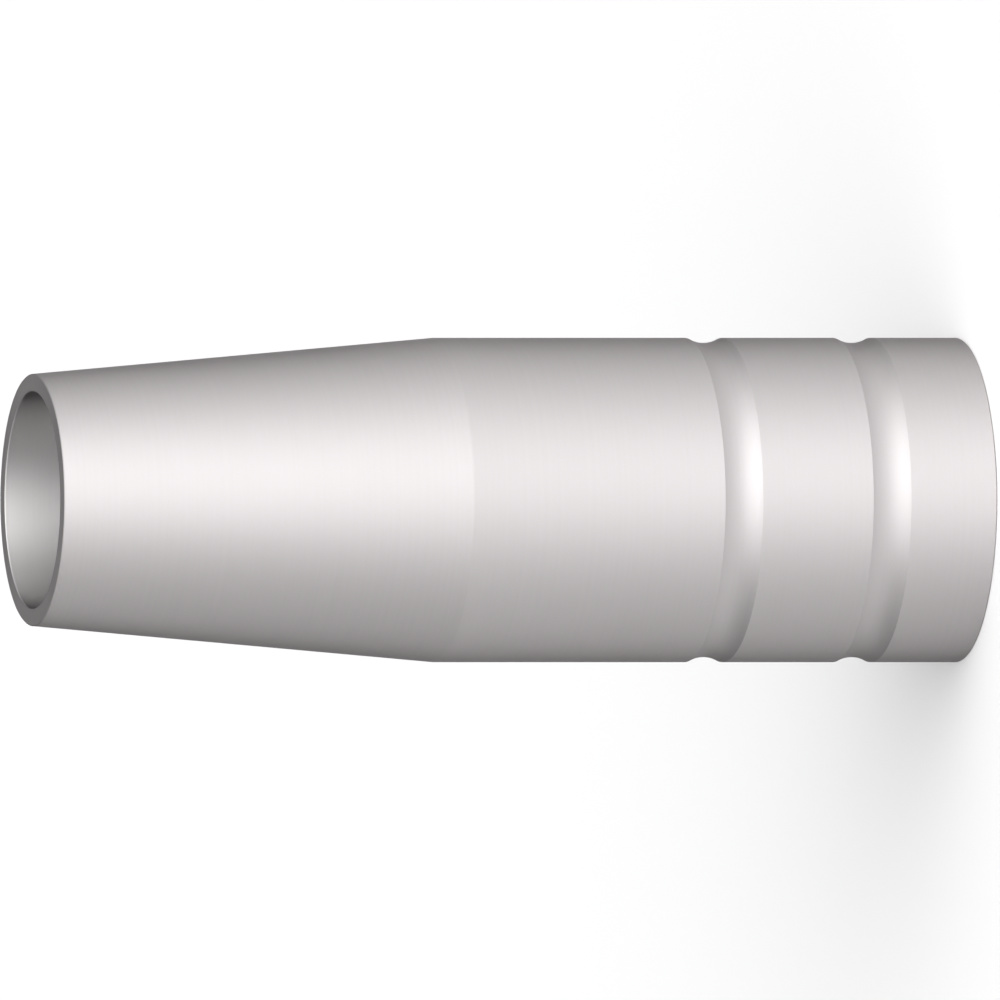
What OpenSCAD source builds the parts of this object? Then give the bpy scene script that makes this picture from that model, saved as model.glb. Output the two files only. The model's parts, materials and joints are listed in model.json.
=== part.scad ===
// Conical gas nozzle for a small air-cooled MIG welding torch.
// It is one thin turned tube of nickel-plated copper: a straight socket that slips over the
// torch neck, two shallow grip grooves round it, and a taper down to the gas outlet.
// It stands on its wide rear face. The origin is the centre of that face, and +Z runs along
// the axis to the outlet. All lengths are in millimetres.

/* [Tube] */
// Length from the rear face to the outlet face
nozzle_length = 53; // [46:0.5:75]
// Length of the conical front part
taper_length = 23; // [14:0.5:28]
// Bore of the straight rear socket, which slips over the torch neck
socket_bore = 16; // [14.5:0.1:20]
// Bore at the outlet, where the shielding gas leaves
outlet_bore = 12; // [9.5:0.1:14]
// Wall thickness, measured square to the axis
wall = 1; // [0.8:0.05:1.6]

/* [Grip grooves] */
// Number of grooves turned round the straight part
groove_count = 2; // [1:1:3]
// Nose radius of the tool that turns a groove
groove_radius = 2.25; // [1.5:0.05:4]
// Depth of a groove below the outside of the tube
groove_depth = 0.28; // [0.1:0.01:0.4]
// Height of the first groove's middle above the rear face
first_groove = 6; // [3:0.1:8]
// Distance from the middle of one groove to the middle of the next
groove_pitch = 8.5; // [5:0.1:10]

/* [Edges] */
// Chamfer inside the mouth of the socket, which leads the neck in
lead_in = 0.3; // [0.1:0.05:0.5]
// Break on the sharp edges of the two end faces
edge_break = 0.05; // [0.02:0.01:0.15]

/* [Hidden] */

// Sides that a full turn is drawn with
turn_sides = 180;

// The tube's colour: a warm pale grey, as satin nickel plate has
nickel_plate = [0.78, 0.77, 0.76];

body_length = nozzle_length - taper_length;
socket_r = socket_bore / 2;
outlet_r = outlet_bore / 2;
body_r = socket_r + wall;
tip_r = outlet_r + wall;

// Radius of the bore at height z above the rear face
function bore_r(z) =
    z <= body_length
        ? socket_r
        : socket_r - (socket_r - outlet_r) * (z - body_length) / taper_length;

// Half section of the plain tube, with the radius along X and the height along Y
module tube_section() {
    tip_edge = nozzle_length - edge_break;
    polygon([
        [socket_r + lead_in, 0],
        [body_r - edge_break, 0],
        [body_r, edge_break],
        [body_r, body_length],
        [bore_r(tip_edge) + wall, tip_edge],
        [tip_r - edge_break, nozzle_length],
        [outlet_r + edge_break, nozzle_length],
        [bore_r(tip_edge), tip_edge],
        [socket_r, body_length],
        [socket_r, lead_in]
    ]);
}

// The round nose of the grooving tool, set into the outside of the tube at each groove
module groove_cuts() {
    for (i = [0 : groove_count - 1])
        translate([body_r - groove_depth + groove_radius, first_groove + i * groove_pitch])
            circle(r = groove_radius, $fn = turn_sides);
}

// The whole nozzle: its section turned once round the axis
module nozzle_body() {
    color(nickel_plate)
        rotate_extrude($fn = turn_sides)
            difference() {
                tube_section();
                groove_cuts();
            }
}

nozzle_body();
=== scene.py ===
# %% [markdown]
# # A gas nozzle for a MIG welding torch
#
# This lesson dresses one small turned part: the nozzle that slips over the end of a welding torch
# and leads the shielding gas to the weld. It is a thin copper tube, 53 mm long, with two shallow
# grip grooves and a taper, and it is plated with satin nickel.
#
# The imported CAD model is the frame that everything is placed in. All lengths are in metres, +Z is
# up, and the nozzle stands on its wide rear face with its axis on Z.

# %% Load the frame
import json
import math

import bmesh
import bpy
from mathutils import Matrix, Vector


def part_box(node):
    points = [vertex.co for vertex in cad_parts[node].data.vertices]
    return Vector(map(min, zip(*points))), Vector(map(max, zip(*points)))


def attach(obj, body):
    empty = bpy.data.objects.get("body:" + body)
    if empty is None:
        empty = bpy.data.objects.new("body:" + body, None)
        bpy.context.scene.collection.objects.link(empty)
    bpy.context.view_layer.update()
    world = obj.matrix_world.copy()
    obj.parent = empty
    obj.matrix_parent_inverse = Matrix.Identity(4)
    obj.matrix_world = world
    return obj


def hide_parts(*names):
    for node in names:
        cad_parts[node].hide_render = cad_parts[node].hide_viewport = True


MM = 0.001

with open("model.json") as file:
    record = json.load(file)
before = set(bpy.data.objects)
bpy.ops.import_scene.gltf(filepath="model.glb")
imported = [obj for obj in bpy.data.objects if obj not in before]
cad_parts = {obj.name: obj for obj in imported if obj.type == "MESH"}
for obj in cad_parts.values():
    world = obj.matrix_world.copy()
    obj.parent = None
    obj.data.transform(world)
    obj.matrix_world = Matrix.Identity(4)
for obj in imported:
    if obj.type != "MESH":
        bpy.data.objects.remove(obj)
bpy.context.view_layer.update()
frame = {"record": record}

# %% [markdown]
# ## Two helpers for every node tree
#
# Blender's materials, its world and its geometry nodes are all trees of nodes, so one function is
# enough to add a node anywhere: it makes the node, sets its properties, and then gives each input
# either a plain value or a link from another node's output. An input is called by its name, or by
# its number where several inputs of a node share one name.
#
# Colours are picked on a screen as sRGB hex values, but a shader works with linear light. The
# second function turns one into the other.

# %% Helpers for nodes and colours
SRGB_KNEE = 0.04045
SRGB_SLOPE = 12.92
SRGB_OFFSET = 0.055
SRGB_GAMMA = 2.4
FULL_CHANNEL = 255
# A place times this keeps its X and Y and loses its height.
FLATTEN = (1, 1, 0)


def add(tree, kind, inputs=None, **settings):
    """Add one node to a tree, with its settings, and set or link its inputs."""
    node = tree.nodes.new(kind)
    for name, value in settings.items():
        setattr(node, name, value)
    for socket, value in (inputs or {}).items():
        if isinstance(value, bpy.types.NodeSocket):
            tree.links.new(value, node.inputs[socket])
        else:
            node.inputs[socket].default_value = value
    return node


def linear(hex_colour):
    """The linear RGBA colour of an sRGB hex value such as "#CBC8C8"."""
    channels = []
    for start in (1, 3, 5):
        value = int(hex_colour[start:start + 2], 16) / FULL_CHANNEL
        if value <= SRGB_KNEE:
            channels.append(value / SRGB_SLOPE)
        else:
            channels.append(((value + SRGB_OFFSET) / (1 + SRGB_OFFSET)) ** SRGB_GAMMA)
    return (*channels, 1.0)


print("mid grey #808080 is", [round(part, 3) for part in linear("#808080")])

# %% [markdown]
# ## The finish: satin nickel plate over turned copper
#
# The tube is turned from copper and then plated with a thin coat of nickel, which keeps weld
# spatter from sticking. Nickel is a grey metal with a slightly warm tone. The plate is satin: it
# is full of fine grain, so it shows broad soft highlights and no mirror images.
#
# The lathe leaves its mark too. The tool cuts fine rings round the axis, and such rings throw the
# light along the axis, so that a highlight on the tube becomes a long even band. That is an
# anisotropic surface: smoother round the tube than along it. A radial tangent about Z gives the
# direction of the rings, and a rotation of a quarter turn spreads the light across them.
#
# Seen at a low angle, the grains of satin plate hide some light from each other, so the metal
# darkens a little towards its outline. The dark edge tint darkens it far more than that: most of
# this darkness is painted shade on the sides of the tube. Metallic is 1, and the metal keeps the
# default IOR. The roughness starts from 0.5, as satin plate has, and is then matched to the object.
#
# One function makes the finish, because three surfaces share it with different marks: the turned
# outside, the bored inside, and the two narrow end faces, which are faced off and show no band.
# The inside is a little lighter: that is painted light, which lifts the shade deep in the bore, not
# a colour of the plate.

# %% Values of the finish
# The darker and the lighter tone that each plate varies between
NICKEL_PLATE = ("#C8C4C5", "#D0CCCC")
# Lighter than the outside: painted light that lifts the shade inside the bore.
BORE_PAINTED_LIGHT_PLATE = ("#E4E1E1", "#ECE9E9")
# A dark edge tint, mostly painted shade: it darkens the metal towards the outline of the tube.
# Not quite black: a tint of zero switches the shader off at some angles and leaves dark specks.
OUTLINE_SHADE_TINT = "#282828"

# A finishing cut leaves a ring every 0.1 mm. They are drawn coarser, so that they just show.
RING_SPACING = 0.25 * MM
RING_DETAIL = 1.0
# The grain of the plate is a few hundredths of a millimetre. It is drawn coarser too.
GRAIN_SIZE = 0.12 * MM
GRAIN_HEIGHT = 0.0004 * MM
# Faint clouds in the plate, from small differences in how thick it grew.
CLOUD_SIZE = 5 * MM
# Rings and clouds weigh the same in the colour and in the roughness.
CLOUD_SHARE = 0.5
ROUGHNESS_SPREAD = 0.05
QUARTER_TURN = 0.25
print(f"rings every {RING_SPACING / MM:.2f} mm, grain of {GRAIN_SIZE / MM:.2f} mm")

# %% [markdown]
# The pattern of rings needs only two numbers at each point: its distance from the axis and its
# height. Points that share both lie on one ring, so a noise read at (distance, height) has no seam
# anywhere round the tube, and the same pattern gives rings on the tube and circles on its ends.

# %% The satin nickel material
def satin_nickel(name, plate, roughness, anisotropy, ring_height):
    """Nickel plate over copper, with the rings that the lathe tool left."""
    material = bpy.data.materials.new(name)
    material.use_nodes = True
    tree = material.node_tree
    shader = tree.nodes["Principled BSDF"]
    place = add(tree, "ShaderNodeTexCoord").outputs["Object"]

    # Distance from the axis and height, for the rings
    across = add(tree, "ShaderNodeVectorMath", {0: place, 1: FLATTEN}, operation="MULTIPLY")
    distance = add(tree, "ShaderNodeVectorMath", {0: across.outputs[0]}, operation="LENGTH")
    height = add(tree, "ShaderNodeSeparateXYZ", {0: place}).outputs["Z"]
    ring_place = add(tree, "ShaderNodeCombineXYZ", {"X": distance.outputs["Value"], "Y": height})
    rings = add(tree, "ShaderNodeTexNoise",
                {"Vector": ring_place.outputs[0], "Scale": 1 / RING_SPACING,
                 "Detail": RING_DETAIL})

    # The grain and the clouds of the plate
    grain = add(tree, "ShaderNodeTexNoise", {"Vector": place, "Scale": 1 / GRAIN_SIZE})
    clouds = add(tree, "ShaderNodeTexNoise", {"Vector": place, "Scale": 1 / CLOUD_SIZE})
    mottle = add(tree, "ShaderNodeMix",
                 {0: CLOUD_SHARE, 2: rings.outputs[0], 3: clouds.outputs[0]})

    # Colour and roughness follow the clouds and the rings a little
    darker, lighter = linear(plate[0]), linear(plate[1])
    colour = add(tree, "ShaderNodeMix", {0: mottle.outputs[0], 6: darker, 7: lighter},
                 data_type="RGBA")
    rough = add(tree, "ShaderNodeMapRange",
                {"Value": mottle.outputs[0], "To Min": roughness - ROUGHNESS_SPREAD,
                 "To Max": roughness + ROUGHNESS_SPREAD})

    # Rings and grain as relief, in their real heights
    ring_bump = add(tree, "ShaderNodeBump", {"Height": rings.outputs[0], "Distance": ring_height})
    relief = add(tree, "ShaderNodeBump",
                 {"Height": grain.outputs[0], "Distance": GRAIN_HEIGHT,
                  "Normal": ring_bump.outputs[0]})
    tangent = add(tree, "ShaderNodeTangent", direction_type="RADIAL", axis="Z")

    shader.distribution = "GGX"
    shader.inputs["Metallic"].default_value = 1.0
    # The dark edge tint paints shade towards the outline of the tube.
    shader.inputs["Specular Tint"].default_value = linear(OUTLINE_SHADE_TINT)
    shader.inputs["Anisotropic"].default_value = anisotropy
    shader.inputs["Anisotropic Rotation"].default_value = QUARTER_TURN
    tree.links.new(colour.outputs[2], shader.inputs["Base Color"])
    tree.links.new(rough.outputs[0], shader.inputs["Roughness"])
    tree.links.new(relief.outputs[0], shader.inputs["Normal"])
    tree.links.new(tangent.outputs[0], shader.inputs["Tangent"])
    return material


print("ready to make:", satin_nickel.__name__)

# %% Three finishes
turned_nickel = satin_nickel("satin_nickel_turned", NICKEL_PLATE, roughness=0.55,
                             anisotropy=0.5, ring_height=0.0012 * MM)
# The bore's lighter plate is painted light against the shade inside it.
bored_nickel = satin_nickel("satin_nickel_bored", BORE_PAINTED_LIGHT_PLATE, roughness=0.5,
                            anisotropy=0.92, ring_height=0.002 * MM)
faced_nickel = satin_nickel("satin_nickel_faced", NICKEL_PLATE, roughness=0.41,
                            anisotropy=0.0, ring_height=0.0008 * MM)
print("finishes:", turned_nickel.name, bored_nickel.name, faced_nickel.name)

# %% [markdown]
# ## The tube: a section turned round an axis
#
# A lathe makes the real tube, so the tree works as a lathe does: it draws one half section, with
# its ten corners and its round grooves, and turns it once round the axis. The other way would be
# a cylinder with grooves cut out of it, but cuts leave ragged edges, and a section keeps every
# corner sharp and every size a plain number.
#
# The tree has a named input for each size, so another nozzle is a matter of other numbers. The
# length comes from the frame's box and the socket from the record, and both are exact. The other
# sizes are the drawing's.

# %% Sizes of the nozzle
low_corner, high_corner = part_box("nozzle_body")
mounts = {mount["name"]: mount for mount in frame["record"]["mounts"]}

SIZES = {
    "Length": high_corner.z - low_corner.z,
    "Taper Length": 23 * MM,
    "Socket Radius": mounts["rear_socket"]["dims"]["r_mm"] * MM,
    "Outlet Radius": 6 * MM,
    "Wall": 1 * MM,
    "Lead In": 0.3 * MM,
    "Edge Break": 0.05 * MM,
    "Groove Nose Radius": 2.25 * MM,
    "Groove Depth": 0.28 * MM,
    "First Groove": 6 * MM,
    "Groove Pitch": 8.5 * MM,
}
COUNTS = {"Groove Count": 2, "Groove Points": 33, "Sides": 360}
FINISHES = {"Outside": turned_nickel, "Bore": bored_nickel, "End Faces": faced_nickel}

for name, value in SIZES.items():
    print(f"{name}: {value / MM:.3f} mm")

# %% The tree and its named inputs
tube = bpy.data.node_groups.new("turned tube", "GeometryNodeTree")
tube.interface.new_socket(name="Geometry", in_out="OUTPUT", socket_type="NodeSocketGeometry")
input_values = {}
for kind, group in (("NodeSocketFloat", SIZES), ("NodeSocketInt", COUNTS),
                    ("NodeSocketMaterial", FINISHES)):
    for name, value in group.items():
        socket = tube.interface.new_socket(name=name, in_out="INPUT", socket_type=kind)
        input_values[socket.identifier] = value
size = tube.nodes.new("NodeGroupInput").outputs
print("inputs of the tree:", len(input_values))

# %% [markdown]
# ### The corners of the section
#
# The section lies flat: X is the distance outwards from the socket's bore, and Y is the height
# above the rear face. The corners go once round the wall, from the crease where the taper begins,
# over the outlet, down the inside, and out along the rear face. A Points node places them, with
# an Index Switch that hands each point its corner.

# %% Corners of the wall
body_end = add(tube, "ShaderNodeMath", {0: size["Length"], 1: size["Taper Length"]},
               operation="SUBTRACT").outputs[0]
tip_edge = add(tube, "ShaderNodeMath", {0: size["Length"], 1: size["Edge Break"]},
               operation="SUBTRACT").outputs[0]
rear_edge = add(tube, "ShaderNodeMath", {0: size["Wall"], 1: size["Edge Break"]},
                operation="SUBTRACT").outputs[0]

# How far the outlet's bore lies from the socket's bore, at the tip and just below it
outlet_step = add(tube, "ShaderNodeMath", {0: size["Outlet Radius"], 1: size["Socket Radius"]},
                  operation="SUBTRACT").outputs[0]
edge_step = add(tube, "ShaderNodeMapRange",
                {"Value": tip_edge, "From Min": body_end, "From Max": size["Length"],
                 "To Min": 0.0, "To Max": outlet_step}).outputs[0]
outer_edge = add(tube, "ShaderNodeMath", {0: edge_step, 1: size["Wall"]}).outputs[0]
face_outer = add(tube, "ShaderNodeMath", {0: outlet_step, 1: rear_edge}).outputs[0]
face_inner = add(tube, "ShaderNodeMath", {0: outlet_step, 1: size["Edge Break"]}).outputs[0]

corners = [
    (size["Wall"], body_end),
    (outer_edge, tip_edge),
    (face_outer, size["Length"]),
    (face_inner, size["Length"]),
    (edge_step, tip_edge),
    (0.0, body_end),
    (0.0, size["Lead In"]),
    (size["Lead In"], 0.0),
    (rear_edge, 0.0),
    (size["Wall"], size["Edge Break"]),
]

index = add(tube, "GeometryNodeInputIndex").outputs[0]
which_corner = add(tube, "GeometryNodeIndexSwitch", {"Index": index}, data_type="VECTOR")
while len(which_corner.index_switch_items) < len(corners):
    which_corner.index_switch_items.new()
for number, (out, up) in enumerate(corners):
    corner = add(tube, "ShaderNodeCombineXYZ", {"X": out, "Y": up})
    tube.links.new(corner.outputs[0], which_corner.inputs[str(number)])
corner_points = add(tube, "GeometryNodePoints",
                    {"Count": len(corners), "Position": which_corner.outputs[0]})
print("corners in the section:", len(corners))

# %% [markdown]
# ### The grip grooves
#
# A tool with a round nose cuts each groove, so its section is an arc of the nose. The nose's
# middle lies outside the tube, and the half angle of the arc follows from the nose radius and the
# depth. The arc is drawn once and placed at every groove as an instance, which is how geometry
# nodes repeat a shape.

# %% Arcs of the grooves
nose_height = add(tube, "ShaderNodeMath",
                  {0: size["Groove Nose Radius"], 1: size["Groove Depth"]},
                  operation="SUBTRACT").outputs[0]
nose_share = add(tube, "ShaderNodeMath", {0: nose_height, 1: size["Groove Nose Radius"]},
                 operation="DIVIDE").outputs[0]
half_angle = add(tube, "ShaderNodeMath", {0: nose_share}, operation="ARCCOSINE").outputs[0]

# The arc lies on the nose's side towards the axis, with the half angle to either side
start_angle = add(tube, "ShaderNodeMath", {0: half_angle, 1: math.pi}).outputs[0]
sweep_angle = add(tube, "ShaderNodeMath", {0: half_angle, 1: -2.0},
                  operation="MULTIPLY").outputs[0]
nose_arc = add(tube, "GeometryNodeCurveArc",
               {"Resolution": size["Groove Points"], "Radius": size["Groove Nose Radius"],
                "Start Angle": start_angle, "Sweep Angle": sweep_angle}, mode="RADIUS")

nose_out = add(tube, "ShaderNodeMath", {0: size["Wall"], 1: nose_height}).outputs[0]
nose_up = add(tube, "ShaderNodeMath", {0: index, 1: size["Groove Pitch"], 2: size["First Groove"]},
              operation="MULTIPLY_ADD").outputs[0]
nose_middle = add(tube, "ShaderNodeCombineXYZ", {"X": nose_out, "Y": nose_up}).outputs[0]
nose_places = add(tube, "GeometryNodePoints",
                  {"Count": size["Groove Count"], "Position": nose_middle})
groove_arcs = add(tube, "GeometryNodeInstanceOnPoints",
                  {"Points": nose_places.outputs[0], "Instance": nose_arc.outputs["Curve"]})
real_arcs = add(tube, "GeometryNodeRealizeInstances", {0: groove_arcs.outputs[0]})
groove_points = add(tube, "GeometryNodeCurveToPoints", {0: real_arcs.outputs[0]}, mode="EVALUATED")

nose, depth = SIZES["Groove Nose Radius"], SIZES["Groove Depth"]
print(f"each groove is {2 * math.sqrt(depth * (2 * nose - depth)) / MM:.2f} mm wide")

# %% [markdown]
# ### One closed line, turned into a tube
#
# Corners and groove points become one closed line. A number stored on each point gives the order:
# the grooves follow the last corner, on the way back up to the crease. The number then goes, so
# that the finished mesh doesn't carry it. Curve to Mesh takes the line round a circle of the
# socket's radius. Line and circle are both closed, so the wall is closed as well, with no seam and
# no doubled points.
#
# Curve to Mesh hangs the section below the circle, with its Y downwards. A half turn about X sets
# the tube upright. A negative scale would do so too, but would turn its faces inside out.

# %% The section and the turning
groove_order = add(tube, "ShaderNodeMath", {0: index, 1: len(corners)}).outputs[0]
numbered_corners = add(tube, "GeometryNodeStoreNamedAttribute",
                       {"Geometry": corner_points.outputs[0], "Name": "order", "Value": index})
numbered_grooves = add(tube, "GeometryNodeStoreNamedAttribute",
                       {"Geometry": groove_points.outputs["Points"], "Name": "order",
                        "Value": groove_order})
section_points = add(tube, "GeometryNodeJoinGeometry", {0: numbered_corners.outputs[0]})
tube.links.new(numbered_grooves.outputs[0], section_points.inputs[0])
order = add(tube, "GeometryNodeInputNamedAttribute", {"Name": "order"}).outputs["Attribute"]
section = add(tube, "GeometryNodePointsToCurves",
              {"Points": section_points.outputs[0], "Weight": order})
plain_section = add(tube, "GeometryNodeRemoveAttribute",
                    {"Geometry": section.outputs[0], "Name": "order"})
closed_section = add(tube, "GeometryNodeSetSplineCyclic",
                     {"Geometry": plain_section.outputs[0], "Cyclic": True})

turning_path = add(tube, "GeometryNodeCurvePrimitiveCircle",
                   {"Resolution": size["Sides"], "Radius": size["Socket Radius"]})
hanging = add(tube, "GeometryNodeCurveToMesh",
              {"Curve": turning_path.outputs["Curve"], "Profile Curve": closed_section.outputs[0]})
turned = add(tube, "GeometryNodeTransform",
             {"Geometry": hanging.outputs[0], "Rotation": (math.pi, 0, 0)})
section_size = len(corners) + COUNTS["Groove Count"] * COUNTS["Groove Points"]
print("points in the section:", section_size, "times", COUNTS["Sides"], "sides")

# %% [markdown]
# ### Sharp edges and three finishes
#
# All faces are shaded smooth, and an edge stays sharp where its two faces meet at more than 3.5
# degrees. That lies between the steps of a groove's arc, under 2 degrees, and the crease of the
# taper, 5 degrees, which shows as a crisp line on the real nozzle.
#
# The finish of a face follows from where it looks: towards the axis it is the bore, straight up
# or down it is an end face, and the rest is the outside.

# %% Shading, finishes and the end of the tree
SHARP_ANGLE = math.radians(3.5)
END_FACE_LIMIT = 0.9

edge_angle = add(tube, "GeometryNodeInputMeshEdgeAngle").outputs["Unsigned Angle"]
is_sharp = add(tube, "FunctionNodeCompare", {0: edge_angle, 1: SHARP_ANGLE},
               operation="GREATER_THAN").outputs[0]
smooth = add(tube, "GeometryNodeSetShadeSmooth", {0: turned.outputs[0], "Shade Smooth": True})
creased = add(tube, "GeometryNodeSetShadeSmooth",
              {0: smooth.outputs[0], "Selection": is_sharp, "Shade Smooth": False}, domain="EDGE")

facing = add(tube, "GeometryNodeInputNormal").outputs[0]
position = add(tube, "GeometryNodeInputPosition").outputs[0]
outwards = add(tube, "ShaderNodeVectorMath", {0: position, 1: FLATTEN}, operation="MULTIPLY")
outward_share = add(tube, "ShaderNodeVectorMath", {0: facing, 1: outwards.outputs[0]},
                    operation="DOT_PRODUCT").outputs["Value"]
is_bore = add(tube, "FunctionNodeCompare", {0: outward_share, 1: 0.0}, operation="LESS_THAN")
upward_share = add(tube, "ShaderNodeMath",
                   {0: add(tube, "ShaderNodeSeparateXYZ", {0: facing}).outputs["Z"]},
                   operation="ABSOLUTE").outputs[0]
is_end_face = add(tube, "FunctionNodeCompare", {0: upward_share, 1: END_FACE_LIMIT},
                  operation="GREATER_THAN")

# The last steps: real geometry only, then the materials
real_tube = add(tube, "GeometryNodeRealizeInstances", {0: creased.outputs[0]})
finished = add(tube, "GeometryNodeSetMaterial",
               {"Geometry": real_tube.outputs[0], "Material": size["Outside"]})
finished = add(tube, "GeometryNodeSetMaterial",
               {"Geometry": finished.outputs[0], "Selection": is_bore.outputs[0],
                "Material": size["Bore"]})
finished = add(tube, "GeometryNodeSetMaterial",
               {"Geometry": finished.outputs[0], "Selection": is_end_face.outputs[0],
                "Material": size["End Faces"]})
add(tube, "NodeGroupOutput", {0: finished.outputs[0]})
print("nodes in the tree:", len(tube.nodes))

# %% [markdown]
# ## From the tree to a plain mesh
#
# The tree runs as a modifier on an empty mesh. Its inputs are set by each socket's identifier
# before the object is first evaluated, and the evaluated result is then copied to a plain mesh.
# The modifier goes, so that what rides with the frame is an ordinary object at the origin.
#
# The volume is a good test. Its sign shows that the faces point outwards, and its size gives the
# weight of the copper, which has to agree with the record.

# %% Make the nozzle
nozzle = bpy.data.objects.new("nozzle_shell", bpy.data.meshes.new("nozzle_blank"))
bpy.context.scene.collection.objects.link(nozzle)
turning = nozzle.modifiers.new("turning", "NODES")
turning.node_group = tube
for identifier, value in input_values.items():
    turning[identifier] = value

depsgraph = bpy.context.evaluated_depsgraph_get()
turned_mesh = bpy.data.meshes.new_from_object(nozzle.evaluated_get(depsgraph))
nozzle.modifiers.remove(turning)
nozzle.data = turned_mesh
turned_mesh.name = "nozzle_shell"
print("faces:", len(turned_mesh.polygons), "materials:", [m.name for m in turned_mesh.materials])

# %% Measure it
# Kilograms in a cubic metre of copper
COPPER_DENSITY = 8940
GRAMS_PER_KG = 1000

shape = bmesh.new()
shape.from_mesh(turned_mesh)
volume = shape.calc_volume(signed=True)
open_edges = sum(1 for edge in shape.edges if len(edge.link_faces) != 2)
shape.free()
weight = volume * COPPER_DENSITY
recorded = frame["record"]["physics"]["mass_kg"]
print(f"volume {volume / MM ** 3:.1f} mm3, weight {weight * GRAMS_PER_KG:.2f} g,",
      f"recorded {recorded * GRAMS_PER_KG:.2f} g, open edges {open_edges}")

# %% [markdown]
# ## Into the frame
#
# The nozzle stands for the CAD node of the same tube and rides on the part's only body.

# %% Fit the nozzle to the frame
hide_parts("nozzle_body")
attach(nozzle, "root")
print(nozzle.name, "stands for nozzle_body and rides on root")

# %% [markdown]
# ## The floor
#
# The nozzle stands on plain white board. The board is a large plane, so that it fills the picture
# from any side, and it lies a hair below the rear face, so that the two never share a plane. Its
# white is the picture's background, and it keeps the nozzle's soft shadow.

# %% White board
FLOOR_WIDTH = 12.0
FLOOR_GAP = 0.02 * MM
BOARD_WHITE = "#F8F8F8"
BOARD_ROUGHNESS = 1.0
BOARD_GLOSS = 0.0

bpy.ops.mesh.primitive_plane_add(size=FLOOR_WIDTH, location=(0, 0, -FLOOR_GAP))
floor = bpy.context.object
floor.name = "floor"
board = bpy.data.materials.new("matt_white_board")
board.use_nodes = True
board_shader = board.node_tree.nodes["Principled BSDF"]
board_shader.inputs["Base Color"].default_value = linear(BOARD_WHITE)
board_shader.inputs["Roughness"].default_value = BOARD_ROUGHNESS
board_shader.inputs["Specular IOR Level"].default_value = BOARD_GLOSS
floor.data.materials.append(board)
print("floor:", board.name, BOARD_WHITE)

# %% [markdown]
# ## Plain soft light
#
# A satin metal shows mostly what it reflects, so the light is one very large soft source before
# the nozzle, a little to its right and a little above. It is made by the world: the strength is
# highest towards the source and fades smoothly to almost nothing behind. The smooth fade is what
# shades the round tube evenly from its bright middle to its dark sides. A lamp with an edge would
# print that edge as a line along the tube. The source is kept weak enough that the camera sees
# no broad patch of flat white on the metal.
#
# A second, very wide soft light comes from overhead. It whitens the board, and it reaches the
# lower walls of the grooves and the end face, which look up and would be too dark without it.

# %% The soft source in the world
KEY_TURN = math.radians(21)
KEY_HEIGHT = math.radians(9)
KEY_STRENGTH = 2.9
KEY_FADE = 5.0
FILL_STRENGTH = 0.02


def direction(turn, height):
    """Unit vector to a light that is turned right from the front and raised above the floor."""
    return Vector((math.sin(turn) * math.cos(height), -math.cos(turn) * math.cos(height),
                   math.sin(height)))


world = bpy.data.worlds.new("soft_source")
bpy.context.scene.world = world
world.use_nodes = True
sky = world.node_tree
view_ray = add(sky, "ShaderNodeTexCoord").outputs["Generated"]
alike = add(sky, "ShaderNodeVectorMath", {0: view_ray, 1: direction(KEY_TURN, KEY_HEIGHT)},
            operation="DOT_PRODUCT").outputs["Value"]
# Half the cosine plus a half is a share, from 0 behind to 1 towards the source
share = add(sky, "ShaderNodeMath", {0: alike, 1: 0.5, 2: 0.5}, operation="MULTIPLY_ADD",
            use_clamp=True).outputs[0]
fade = add(sky, "ShaderNodeMath", {0: share, 1: KEY_FADE}, operation="POWER").outputs[0]
strength = add(sky, "ShaderNodeMath", {0: fade, 1: KEY_STRENGTH, 2: FILL_STRENGTH},
               operation="MULTIPLY_ADD").outputs[0]
sky.links.new(strength, sky.nodes["Background"].inputs["Strength"])
sky.nodes["Background"].inputs["Color"].default_value = linear("#FFFFFF")
print("strength towards the source:", KEY_STRENGTH + FILL_STRENGTH)

# %% The soft light from above
TOP_TURN = math.radians(45)
TOP_HEIGHT = math.radians(75)
TOP_SPREAD = math.radians(160)
TOP_STRENGTH = 1.9

top_lamp = bpy.data.lights.new("top_light", "SUN")
top_lamp.energy = TOP_STRENGTH
top_lamp.angle = TOP_SPREAD
top_light = bpy.data.objects.new("top_light", top_lamp)
top_light.rotation_mode = "QUATERNION"
top_light.rotation_quaternion = direction(TOP_TURN, TOP_HEIGHT).to_track_quat("Z", "Y")
bpy.context.scene.collection.objects.link(top_light)
print("light from above, strength:", TOP_STRENGTH)

# %% [markdown]
# ## The camera
#
# The picture shows the tube lying across it, with no perspective and with the outlet turned about
# 15 degrees towards the viewer. Here the tube stands on its rear face, so the camera is turned
# instead: it looks down by that angle, and it is rolled so that the tube's axis runs across the
# picture, with the outlet at the left. The world's +X is then up in the picture.

# %% Camera
VIEW_DROP = math.radians(14.8)
VIEW_WIDTH = 55.49 * MM
VIEW_MIDDLE = 26.16 * MM
VIEW_DISTANCE = 0.5
VIEW_NEAREST = 0.1
VIEW_FARTHEST = 20.0

camera_data = bpy.data.cameras.new("camera")
camera_data.type = "ORTHO"
camera_data.ortho_scale = VIEW_WIDTH
camera_data.clip_start = VIEW_NEAREST
camera_data.clip_end = VIEW_FARTHEST
camera = bpy.data.objects.new("camera", camera_data)
bpy.context.scene.collection.objects.link(camera)
backwards = direction(0.0, VIEW_DROP)
picture_up = Vector((1, 0, 0))
picture_right = picture_up.cross(backwards)
turn = Matrix((picture_right, picture_up, backwards)).transposed().to_4x4()
place = Vector((0, 0, VIEW_MIDDLE)) + backwards * VIEW_DISTANCE
camera.matrix_world = Matrix.Translation(place) @ turn
bpy.context.scene.camera = camera
bpy.context.scene.view_settings.view_transform = "Standard"
print("the camera looks down by", round(math.degrees(VIEW_DROP), 1), "degrees")
